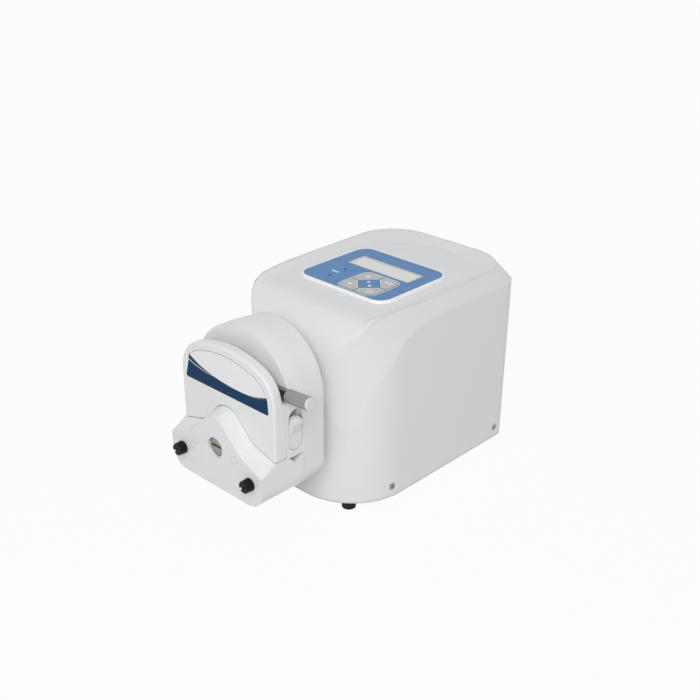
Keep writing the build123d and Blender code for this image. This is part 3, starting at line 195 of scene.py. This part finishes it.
steel = Surface("turned_steel", (150, 151, 152), rough=0.16, metal=1.0, blotch=0.08, blotch_size=0.004,
                grain=0.00001, grain_size=0.0004, stretch=(1, 6, 6), edge=0.0003)
# painted shade darkens the screws down in their recesses
plated = Surface("plated_screw", (150, 150, 148), rough=0.25, metal=1.0, blotch=0.12,
                 blotch_size=0.002, edge=0.0002, corner_shade_reach=0.0015)
disc = Surface("shaft_face", (158, 155, 147), rough=0.42, metal=0.7, blotch=0.1, blotch_size=0.003,
               stretch=(1, 1, 5), edge=0.0003)
brushed = Surface("brushed_plate", (186, 187, 190), rough=0.34, metal=0.9, blotch=0.05, blotch_size=0.003,
                  grain=0.00001, stretch=(1, 1, 12), edge=0.0003)
sheet_steel = Surface("folded_steel", (176, 178, 180), rough=0.4, metal=0.9, blotch=0.06,
                      blotch_size=0.01, edge=0.0003)
motor_black = Surface("motor_paint", (52, 53, 56), rough=0.45, blotch=0.1, blotch_size=0.01, edge=0.0004)
board_green = Surface("board_green", (22, 92, 58), rough=0.4, blotch=0.12, blotch_size=0.004)
roller_white = Surface("roller_plastic", (216, 215, 208), rough=0.3, blotch=0.03, blotch_size=0.006,
                       edge=0.0004)

blue = Surface("keypad_film", PANEL_BLUE, rough=0.4, blotch=0.03, blotch_size=0.02, grain=0.00001, shine=0.3)
lens = Surface("lamp_lens", (38, 140, 255), rough=0.3, blotch=0.04, blotch_size=0.002, shine=0.2)
module = Surface("display_module", (244, 243, 238), rough=0.5, blotch=0.02, blotch_size=0.01)
module.glow((240, 242, 238), 0.22)
digit = Surface("lit_segments", (190, 232, 244), rough=0.4, blotch=0.02, blotch_size=0.002)
digit.glow((170, 235, 255), 0.45)
glass = Surface("display_window", (248, 248, 245), rough=0.15, blotch=0.01, grain=0.000004)
glass.shader.inputs["Alpha"].default_value = 0.62      # lets the module behind it show

finish = {
    white: ["housing_shell"],
    bezel_white: ["keypad_bezel"],
    head_white: ["rear_body", "lower_block", "upper_cover", "occlusion_bed", "cover_plugs"],
    clamp_white: ["tube_clamp_left", "tube_clamp_right"],
    cap_white: ["handle_cap"],
    film_white: ["head_label"],
    black: ["power_inlet", "switch_frame", "switch_rocker", "fuse_holder", "fuse_cap", "thumbscrew_left",
            "thumbscrew_right", "key_switches"],
    rubber: ["rubber_feet"],
    steel: ["lever_handle", "lever_arm", "cam_shaft", "guide_rods", "motor_shaft", "roller_pins",
            "carrier_front", "carrier_rear", "front_bearing", "rear_bearing"],
    disc: ["rotor_shaft"],
    plated: ["foot_screws", "side_screws", "rear_panel_screws", "drive_screws", "head_screws",
             "board_standoffs", "inlet_pins"],
    brushed: ["rear_panel", "signal_connector", "head_flange", "motor_bracket"],
    sheet_steel: ["base_plate", "power_supply"],
    motor_black: ["motor_body"],
    board_green: ["control_board"],
    roller_white: ["roller_1", "roller_2", "roller_3"],
    blue: ["keypad_overlay"],
    lens: ["status_leds"],
    module: ["display_module"],
    glass: ["display_window"],
}


def paint(piece, surface):
    piece.data.materials.clear()
    piece.data.materials.append(surface.material)


for surface, names in finish.items():
    for name in names:
        paint(nodes[name], surface)


# ---------------------------------------------------------------- shapes
def new_piece(name, mesh, surface, body):
    piece = bpy.data.objects.new(name, mesh)
    bpy.context.scene.collection.objects.link(piece)
    paint(piece, surface)
    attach(piece, body)
    return piece


def from_work(name, work, surface, body):
    """Turns the bmesh into a piece, its faces facing outwards."""
    bmesh.ops.recalc_face_normals(work, faces=work.faces)
    mesh = bpy.data.meshes.new(name)
    work.to_mesh(mesh)
    work.free()
    return new_piece(name, mesh, surface, body)


def flat_print(name, shapes, place, surface, body):
    """A printed layer: closed flat outlines given a little thickness, as (outline, low, high).

    place(u, v, w) gives the point for u and v along the layer and w out of it, in mm.
    """
    work = bmesh.new()
    for outline, low, high in shapes:
        rows = [[work.verts.new(place(u, v, w)) for u, v in outline] for w in (low, high)]
        work.faces.new(rows[0][::-1])
        work.faces.new(rows[1])
        for i in range(len(outline)):
            k = (i + 1) % len(outline)
            work.faces.new((rows[0][i], rows[0][k], rows[1][k], rows[1][i]))
    return from_work(name, work, surface, body)


def band_print(name, outer, inner, low, high, place, surface, body, slot=None):
    """A printed line between two matching closed outlines."""
    work = bmesh.new()
    grid = [[work.verts.new(place(u, v, w)) for u, v in line]
            for line, w in ((outer, low), (outer, high), (inner, high), (inner, low))]
    count = len(outer)
    for a in range(4):
        for i in range(count):
            b, k = (a + 1) % 4, (i + 1) % count
            work.faces.new((grid[a][i], grid[a][k], grid[b][k], grid[b][i]))
    return from_work(name, work, surface, body)


def rounded(x0, x1, y0, y1, radius, steps=8):
    """Outline of a rectangle with round corners."""
    line = []
    for cx, cy, start in ((x1 - radius, y0 + radius, -90), (x1 - radius, y1 - radius, 0),
                          (x0 + radius, y1 - radius, 90), (x0 + radius, y0 + radius, 180)):
        for i in range(steps + 1):
            a = math.radians(start + 90 * i / steps)
            line.append((cx + radius * math.cos(a), cy + radius * math.sin(a)))
    return line


def spread(start, end, count):
    """Evenly spaced values from start to end."""
    return [start + (end - start) * i / count for i in range(count + 1)]


def through(points, steps=12):
    """A smooth curve through points, as a list of points."""
    ends = [points[0]] + list(points) + [points[-1]]
    line = []
    for a, b, c, d in zip(ends, ends[1:], ends[2:], ends[3:]):
        for i in range(steps):
            t = i / steps
            line.append(tuple(
                0.5 * (2 * b[k] + (c[k] - a[k]) * t + (2 * a[k] - 5 * b[k] + 4 * c[k] - d[k]) * t * t
                       + (3 * b[k] - a[k] - 3 * c[k] + d[k]) * t ** 3) for k in range(2)))
    return line + [points[-1]]


# ---------------------------------------------------------------- label on the head
label_low, label_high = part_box("head_label")
label_face = label_low.y
label_half = label_high.x / MM
label_bottom = label_low.z / MM
SHOULDER = (29.2, 147.2, 34.8)     # arc of the cover's shoulder: centre x, centre z, radius
CROWN = (64.6, 122.4)              # arc of its top: centre z, radius
LABEL_MARGIN = 6.2                 # from the cover's edge to the label's
SIDE_RUN = 12                      # straight stretch of its side below the shoulder
BAND_INSET = 0.8
BAND_CORNER = 2.4
BAND_LAYER = (0.0, 0.05)           # each layer: where it starts and ends above the label's face
SHADE_LAYER = (0.0, 0.06)
SWOOSH_LAYER = (0.05, 0.08)
OUTLINE_LAYER = (0.0, 0.04)
PRINT_END = 57.0                   # how far from the middle the shading and the swoosh reach
PRINT_STEPS = 30


def on_label(u, v, w):
    return (u * MM, label_face - w * MM, v * MM)


def label_radii(inset):
    """Radii of the label's shoulder and crown."""
    return SHOULDER[2] - LABEL_MARGIN - inset, CROWN[1] - LABEL_MARGIN - inset


def label_side(z, inset):
    """Half width of the label at height z."""
    cx, cz = SHOULDER[:2]
    if z <= cz:
        return label_half - inset
    reach, crown = label_radii(inset)
    on_shoulder = cx + math.sqrt(max(0, reach ** 2 - (z - cz) ** 2))
    on_crown = math.sqrt(max(0, crown ** 2 - (z - CROWN[0]) ** 2))
    return min(on_shoulder, on_crown)


def label_arch(inset, start, end):
    """The label's outline over the top, from height start on the left to height end on the right."""
    cx, cz = SHOULDER[:2]
    reach, crown = label_radii(inset)
    meeting = math.atan2(cz - CROWN[0], cx)    # where the two arcs run into each other
    side = [(label_half - inset, cz - SIDE_RUN + i) for i in range(SIDE_RUN)]
    side += [(cx + reach * math.cos(a), cz + reach * math.sin(a)) for a in spread(0, meeting, 30)]
    side += [(crown * math.cos(a), CROWN[0] + crown * math.sin(a))
             for a in spread(meeting, math.pi / 2, 20)[1:]]
    left = [(-x, z) for x, z in side if z > start]
    right = [(x, z) for x, z in side[:-1] if z > end]
    return left + right[::-1]


def held(x, z, inset=BAND_INSET):
    """A point kept inside the label's sides."""
    limit = label_side(z, inset)
    return (max(-limit, min(limit, x)), z)


# the curve between the label's white field and the navy band below it
band_curve = through(((-57.4, 165.0), (-36.4, 157.0), (-15.2, 153.1), (5.6, 150.9), (26.0, 150.8),
                      (40.7, 151.9), (57.4, 155.4)))


def curve_height(x):
    for (ax, az), (bx, bz) in zip(band_curve, band_curve[1:]):
        if ax <= x <= bx:
            return az + (bz - az) * (x - ax) / (bx - ax)
    return band_curve[0][1] if x < 0 else band_curve[-1][1]


band_half = label_half - BAND_INSET
band_low = label_bottom + BAND_INSET
top_line = [held(x, curve_height(x)) for x in spread(-band_half, band_half, 90)]
corner = [(band_half - BAND_CORNER * (1 - math.cos(math.radians(a))),
           band_low + BAND_CORNER * (1 + math.sin(math.radians(a)))) for a in range(-90, 1, 15)]
band = top_line + corner[::-1] + [(-x, z) for x, z in corner]
flat_print("label_band", [(band, *BAND_LAYER)], on_label, film_navy, "upper_block")

# two wedges of shading above the curve, dark at the label's sides and pale towards its middle
SHADE_WEDGES = ((-PRINT_END, -6.0, 2.6), (PRINT_END, 22.0, 2.5))    # thick end, thin end, thickness
SHADE_TAPER = 1.2
SHADE_LEAST = 0.01
SHADE_PALE = (214, 216, 220)
FADE_MIDDLE = 0.004                # in metres, as are the next two
FADE_START = 0.012
FADE_END = 0.046
fade = Surface("label_shade", (20, 22, 26), rough=0.25, blotch=0.02, grain=0.000006)
across = fade.apart(fade.axes()[0], FADE_MIDDLE)
outwards = fade.ranged(across, 0, 1, FADE_START, FADE_END)
fade.recolour(fade.mix(outwards, linear(SHADE_PALE), fade.colour))
shades = []
for thick_end, thin_end, thick in SHADE_WEDGES:
    low_side = [held(x, curve_height(x)) for x in spread(thick_end, thin_end, PRINT_STEPS)]
    rises = [thick * (1 - i / PRINT_STEPS) ** SHADE_TAPER + SHADE_LEAST for i in range(PRINT_STEPS + 1)]
    high_side = [held(x, z + rise) for (x, z), rise in zip(low_side, rises)]
    shades.append((low_side + high_side[::-1], *SHADE_LAYER))
flat_print("label_shading", shades, on_label, fade, "upper_block")

# a thin white swoosh on the band, falling away from the curve towards the left
SWOOSH_LENGTH = 40.0
SWOOSH_GAP = 0.2                   # below the curve at its thin end
SWOOSH_DROP = 3.4                  # further below it at its thick end
SWOOSH_THICK = 0.9
SWOOSH_TAPER = 0.6
SWOOSH_LEAST = 0.02
swoosh_low, swoosh_high = [], []
for i, x in enumerate(spread(-PRINT_END, -PRINT_END + SWOOSH_LENGTH, PRINT_STEPS)):
    t = 1 - i / PRINT_STEPS
    z = curve_height(x) - SWOOSH_GAP - SWOOSH_DROP * t
    swoosh_low.append(held(x, z - SWOOSH_THICK * t ** SWOOSH_TAPER - SWOOSH_LEAST))
    swoosh_high.append(held(x, z))
flat_print("label_swoosh", [(swoosh_low + swoosh_high[::-1], *SWOOSH_LAYER)], on_label, print_white,
           "upper_block")

# a grey line along the label's edge, from one end of the curve over the top to the other
OUTLINE_OUTER = 1.1
OUTLINE_INNER = 1.65
line_start = curve_height(-PRINT_END) + 2.4
line_end = curve_height(PRINT_END) + 2.6
rim_line = (label_arch(OUTLINE_OUTER, line_start, line_end)
            + label_arch(OUTLINE_INNER, line_start, line_end)[::-1])
flat_print("label_outline", [(rim_line, *OUTLINE_LAYER)], on_label, film_grey, "upper_block")

# ---------------------------------------------------------------- keypad
print_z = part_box("keypad_overlay")[1].z
key_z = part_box("key_centre")[1].z
centre_low, centre_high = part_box("key_centre")
KEY_X = (centre_low.x + centre_high.x) / 2
KEY_Y = (centre_low.y + centre_high.y) / 2
KEY_GAP = 0.00075                  # half the width of the blue lines between the keys, in metres
PALE_RING = 0.0037                 # the pale line's outer edge, measured past the middle key's half size
DIAMOND = (centre_high.x - centre_low.x) / 2 + PALE_RING
KEY_TOP = 0.0001                   # depth below a key's top that still counts as its top
PRINT_LAYER = (0.0, 0.05)


def on_film(u, v, w):
    return (KEY_X + u * MM, KEY_Y + v * MM, print_z + w * MM)


def on_keys(u, v, w):
    return (KEY_X + u * MM, KEY_Y + v * MM, key_z + w * MM)


# grey keys with blue lines between them and a pale line round the blue middle key
key_grey = Surface("key_grey", (190, 193, 195), rough=0.42, blotch=0.02, blotch_size=0.006, grain=0.00001)
key_x, key_y, key_height = key_grey.axes()
from_x = key_grey.apart(key_x, KEY_X)
from_y = key_grey.apart(key_y, KEY_Y)
clear = key_grey.calc("GREATER_THAN", key_grey.calc("MINIMUM", from_x, from_y), KEY_GAP)
outside = key_grey.calc("GREATER_THAN", key_grey.calc("ADD", from_x, from_y), DIAMOND)
upper = key_grey.calc("GREATER_THAN", key_height, key_z - KEY_TOP)
grey_top = key_grey.calc("MULTIPLY", clear, upper)
key_grey.recolour(key_grey.mix(outside, linear(PALE_LINE), key_grey.colour))
key_grey.recolour(key_grey.mix(grey_top, linear(PANEL_BLUE), key_grey.colour))
for name in ("key_rear_right", "key_rear_left", "key_front_left", "key_front_right"):
    paint(nodes[name], key_grey)
paint(nodes["key_centre"], blue)

KEY_CLEARANCE = 0.6
OPENING_CORNER = 9.0
LINE_INNER = 0.1                   # the pale line round the keys, measured out from their opening
LINE_OUTER = 1.2
opening = (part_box("key_rear_right")[1].x - KEY_X) / MM + KEY_CLEARANCE


def square(grow):
    half = opening + grow
    return rounded(-half, half, -half, half, OPENING_CORNER + grow)


band_print("cluster_outline", square(LINE_OUTER), square(LINE_INNER), *PRINT_LAYER, on_film, print_cream,
           "drive_unit", "keypad_film")


ARROW = ((0.62, 0.0), (-0.45, 0.62), (-0.45, -0.62))     # a triangle of size 1 that points along +X


def arrow(x, y, size, turn):
    """A triangle pointing along turn degrees from +X."""
    a = math.radians(turn)
    return [(x + size * (u * math.cos(a) - v * math.sin(a)), y + size * (u * math.sin(a) + v * math.cos(a)))
            for u, v in ARROW]


def ring_arrow(x, y, radius, width):
    """Three quarters of a ring, for the restart sign."""
    turns = spread(math.radians(-110), math.radians(150), 24)
    out = [(x + radius * math.cos(a), y + radius * math.sin(a)) for a in turns]
    inside = [(x + (radius - width) * math.cos(a), y + (radius - width) * math.sin(a)) for a in turns]
    return out + inside[::-1]


def dot(x, y, radius, count=24):
    turns = spread(0, 2 * math.pi * (count - 1) / count, count - 1)
    return [(x + radius * math.cos(a), y + radius * math.sin(a)) for a in turns]


# places are in mm from the middle of the keys
signs = {
    "rear_left": [arrow(-13.4, 13.8, 5.4, 90)],
    "rear_right": [arrow(10.8, 14.2, 4.4, 0), arrow(15.8, 14.2, 4.4, 0)],
    "front_left": [arrow(-13.8, -13.0, 5.4, 270)],
    "front_right": [ring_arrow(13.6, -14.2, 3.3, 0.9), arrow(10.1, -12.6, 2.4, 230)],
    "centre": [arrow(-3.0, 3.4, 3.6, 0), dot(4.0, -3.4, 1.9)],
}
for name, lines in signs.items():
    flat_print("sign_" + name, [(line, *PRINT_LAYER) for line in lines], on_keys, print_white,
               "key_" + name)

# lamps: only the middle one is lit
LAMP_LIT = (96, 226, 250)
LAMP_GLOW = (80, 225, 250)
LAMP_GLOW_STRENGTH = 0.35
LAMP_DARK_END = (20, 30, 60)
LIT_OFFSET = 0.0003                # the lit lamp's middle lies this far in front of the row's, in metres
LIT_REACH = 0.004                  # the lit lamp ends within this, and its neighbours start past it
DARK_START = 0.0018                # an unlit lamp is dark from here to its right end
lamp_low, lamp_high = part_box("status_leds")
lamp_middle = (lamp_low.y + lamp_high.y) / 2
lit = lens.calc("LESS_THAN", lens.apart(lens.axes()[1], lamp_middle - LIT_OFFSET), LIT_REACH)
dark_end = lens.calc("GREATER_THAN", lens.axes()[0], (lamp_low.x + lamp_high.x) / 2 + DARK_START)
unlit_end = lens.calc("MULTIPLY", dark_end, lens.calc("SUBTRACT", 1.0, lit))
lens.recolour(lens.mix(unlit_end, lens.colour, linear(LAMP_DARK_END)))
lens.recolour(lens.mix(lit, lens.colour, linear(LAMP_LIT)))
lens.shader.inputs["Emission Color"].default_value = linear(LAMP_GLOW)
lens.link(lens.calc("MULTIPLY", lit, LAMP_GLOW_STRENGTH), lens.shader.inputs["Emission Strength"])

# display digits on the module, under the window
module_low, module_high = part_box("display_module")
SHOWN = "100"
LIT_BARS = {"0": "abcdef", "1": "bc"}      # a is the top bar, the others follow clockwise
DIGIT_START = 6.0                  # from the module's left end
DIGIT_PITCH = 11.5
DIGIT_WIDE = 8.0
DIGIT_HIGH = 13.0
BAR_THICK = 1.9
BAR_TRIM = 0.12                    # taken off each long side of a bar
DIGIT_LEAN = 0.1
DIGIT_LAYER = (0.0, 0.08)


def digit_bars(figure, x, y):
    """Outlines of the lit bars of one figure, leaning slightly."""
    wide, high, thick = DIGIT_WIDE, DIGIT_HIGH, BAR_THICK
    bars = {
        "a": (thick, wide - thick, high - thick / 2, high - thick / 2),
        "d": (thick, wide - thick, thick / 2, thick / 2),
        "f": (thick / 2, thick / 2, high / 2 + thick / 2, high - thick),
        "b": (wide - thick / 2, wide - thick / 2, high / 2 + thick / 2, high - thick),
        "e": (thick / 2, thick / 2, thick, high / 2 - thick / 2),
        "c": (wide - thick / 2, wide - thick / 2, thick, high / 2 - thick / 2),
    }
    lines = []
    grow = thick / 2 - BAR_TRIM
    for letter in LIT_BARS[figure]:
        x0, x1, y0, y1 = bars[letter]
        if x0 == x1:
            box = ((x0 - grow, y0), (x0 + grow, y0), (x0 + grow, y1), (x0 - grow, y1))
        else:
            box = ((x0, y0 - grow), (x1, y0 - grow), (x1, y0 + grow), (x0, y0 + grow))
        lines.append([(x + u + DIGIT_LEAN * v, y + v) for u, v in box])
    return lines


def on_module(u, v, w):
    return (u * MM, v * MM, module_high.z + w * MM)


module_x = module_low.x / MM
module_y = (module_low.y + module_high.y) / 2 / MM
figures = []
for place, figure in enumerate(SHOWN):
    figures += digit_bars(figure, module_x + DIGIT_START + DIGIT_PITCH * place, module_y - DIGIT_HIGH / 2)
flat_print("display_digits", [(line, *DIGIT_LAYER) for line in figures], on_module, digit,
           "drive_unit")

# ---------------------------------------------------------------- camera, light and floor
camera_data = bpy.data.cameras.new("camera")
camera_data.lens = 56.37
camera_data.sensor_width = 36
camera_data.shift_x = 0.0271
camera_data.shift_y = 0.0614
camera_data.clip_end = 20
camera = bpy.data.objects.new("camera", camera_data)
bpy.context.scene.collection.objects.link(camera)
target = Vector((0.0, -0.016, 0.090))
camera.location = (0.6875, -0.7194, 0.6130)
camera.rotation_mode = "QUATERNION"
camera.rotation_quaternion = (target - camera.location).to_track_quat("-Z", "Y")
bpy.context.scene.camera = camera


def lamp(name, place, aim, size, power):
    """A round area lamp at place that points at aim."""
    data = bpy.data.lights.new(name, "AREA")
    data.shape = "DISK"
    data.size = size
    data.energy = power
    made = bpy.data.objects.new(name, data)
    made.location = place
    made.rotation_mode = "QUATERNION"
    made.rotation_quaternion = (Vector(aim) - Vector(place)).to_track_quat("-Z", "Y")
    bpy.context.scene.collection.objects.link(made)


lamp("key_light", (1.05, -1.38, 1.45), (0.0, 0.0, 0.1), size=1.4, power=24)
SKY_STRENGTH = 0.47
FLOOR_SHADE = 0.7
FLOOR_WHITE_SHARE = 0.95           # the rest is lit floor, which keeps the object's shadow


def backdrop_shader(tree, output, lit_shader, glow_kind, share):
    """Shows white to the camera, in reflections and through glass, and lights the object as before."""
    made, links = tree.nodes, tree.links
    path = made.new("ShaderNodeLightPath")
    indirect = made.new("ShaderNodeMath")
    indirect.operation = "MAXIMUM"
    links.new(path.outputs["Is Glossy Ray"], indirect.inputs[0])
    links.new(path.outputs["Is Transmission Ray"], indirect.inputs[1])
    seen = made.new("ShaderNodeMath")
    seen.operation = "MAXIMUM"
    links.new(path.outputs["Is Camera Ray"], seen.inputs[0])
    links.new(indirect.outputs[0], seen.inputs[1])
    factor = made.new("ShaderNodeMath")
    factor.operation = "MULTIPLY"
    factor.inputs[1].default_value = share
    links.new(seen.outputs[0], factor.inputs[0])
    glow = made.new(glow_kind)
    glow.inputs["Color"].default_value = (1, 1, 1, 1)
    glow.inputs["Strength"].default_value = 1.0
    mixer = made.new("ShaderNodeMixShader")
    links.new(factor.outputs[0], mixer.inputs[0])
    links.new(lit_shader.outputs[0], mixer.inputs[1])
    links.new(glow.outputs[0], mixer.inputs[2])
    links.new(mixer.outputs[0], output.inputs["Surface"])


floor_material = bpy.data.materials.new("floor")
floor_material.use_nodes = True
floor_tree = floor_material.node_tree
floor_tree.nodes.clear()
floor_lit = floor_tree.nodes.new("ShaderNodeBsdfDiffuse")
floor_lit.inputs["Color"].default_value = (FLOOR_SHADE, FLOOR_SHADE, FLOOR_SHADE, 1)
floor_output = floor_tree.nodes.new("ShaderNodeOutputMaterial")
backdrop_shader(floor_tree, floor_output, floor_lit, "ShaderNodeEmission", FLOOR_WHITE_SHARE)
work = bmesh.new()
bmesh.ops.create_circle(work, cap_ends=True, segments=96, radius=6.0)
floor_mesh = bpy.data.meshes.new("floor")
work.to_mesh(floor_mesh)
work.free()
floor_mesh.materials.append(floor_material)
floor = bpy.data.objects.new("floor", floor_mesh)
bpy.context.scene.collection.objects.link(floor)

world = bpy.data.worlds.new("studio")
bpy.context.scene.world = world
world.use_nodes = True
world.node_tree.nodes.clear()
sky = world.node_tree.nodes.new("ShaderNodeBackground")
sky.inputs["Color"].default_value = (1, 1, 1, 1)
sky.inputs["Strength"].default_value = SKY_STRENGTH
world_output = world.node_tree.nodes.new("ShaderNodeOutputWorld")
backdrop_shader(world.node_tree, world_output, sky, "ShaderNodeBackground", 1.0)
bpy.context.scene.view_settings.view_transform = "Standard"
